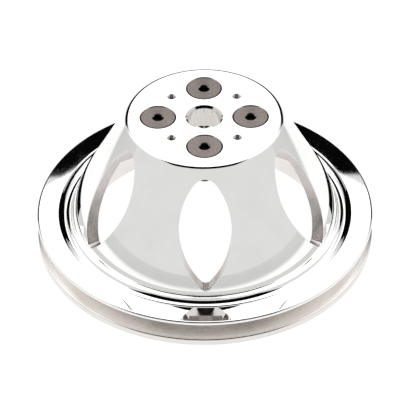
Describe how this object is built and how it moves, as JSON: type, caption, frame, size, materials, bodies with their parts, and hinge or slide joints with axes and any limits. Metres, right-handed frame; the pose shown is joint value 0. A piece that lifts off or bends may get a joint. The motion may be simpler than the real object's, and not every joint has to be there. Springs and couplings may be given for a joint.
{
  "type": "v-belt pulley",
  "caption": "Polished billet V-belt pulley with a windowed bell-shaped hub, a grooved rim and countersunk mounting screws.",
  "frame": {"origin": "centre of the rear face of the rim, on the pulley's axis", "axes": "+Z along the axis, towards the nose face; -Y towards the front window"},
  "size_m": [0.165, 0.165, 0.073],
  "materials": {
    "polished_aluminium": "mirror-polished billet aluminium, with the belt groove and the window walls left as machined",
    "screw_steel": "turned alloy steel with a warm grey finish"
  },
  "bodies": {
    "pulley": {"pulley_body": "polished_aluminium"},
    "front_screw": {"screw_front": "screw_steel"},
    "right_screw": {"screw_right": "screw_steel"},
    "rear_screw": {"screw_rear": "screw_steel"},
    "left_screw": {"screw_left": "screw_steel"}
  },
  "joints": [
    {"name": "front_screw_lift", "type": "slide", "parent": "pulley", "child": "front_screw", "axis": [0, 0, 1], "range_m": [0, 0.025]},
    {"name": "right_screw_lift", "type": "slide", "parent": "pulley", "child": "right_screw", "axis": [0, 0, 1], "range_m": [0, 0.025]},
    {"name": "rear_screw_lift", "type": "slide", "parent": "pulley", "child": "rear_screw", "axis": [0, 0, 1], "range_m": [0, 0.025]},
    {"name": "left_screw_lift", "type": "slide", "parent": "pulley", "child": "left_screw", "axis": [0, 0, 1], "range_m": [0, 0.025]}
  ]
}
